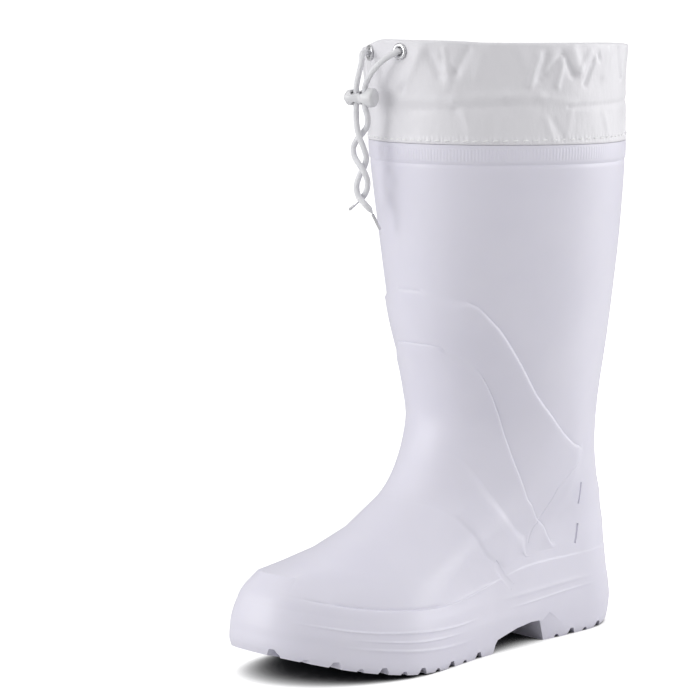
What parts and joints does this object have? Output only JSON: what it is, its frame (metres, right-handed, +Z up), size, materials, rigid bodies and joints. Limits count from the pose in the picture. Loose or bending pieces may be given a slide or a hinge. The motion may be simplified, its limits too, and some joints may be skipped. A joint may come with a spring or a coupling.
{
  "type": "rubber boot",
  "caption": "Left moulded foam rain boot, hollow, with lugged sole, fabric cuff, drawcord, eyelets and sprung cord lock.",
  "frame": {"origin": "on the floor, below the centre of the bounding box of the boot without its hanging cord", "axes": "+Z up, toe towards -Y, outer (lateral) side towards +X"},
  "size_m": [0.1574, 0.3052, 0.394],
  "materials": {
    "foam": "satin white foam",
    "liner": "matt felt",
    "cuff_fabric": "coated nylon with a slight sheen",
    "nickel": "polished nickel",
    "cord": "braided polyester",
    "lock_plastic": "satin white"
  },
  "bodies": {
    "boot": {"moulded_shell": "foam", "insole": "liner", "cuff": "cuff_fabric", "eyelet_lateral": "nickel", "eyelet_medial": "nickel", "drawcord_lateral": "cord", "drawcord_medial": "cord", "cord_lock_barrel": "lock_plastic", "aglet_lateral": "nickel", "aglet_medial": "nickel"},
    "lock_button": {"cord_lock_button": "lock_plastic"}
  },
  "joints": [
    {"name": "button_press", "type": "slide", "parent": "boot", "child": "lock_button", "axis": [0.9426, 0.3338, 0], "range_m": [0, 0.002], "stiffness_N_per_m": 1000}
  ]
}
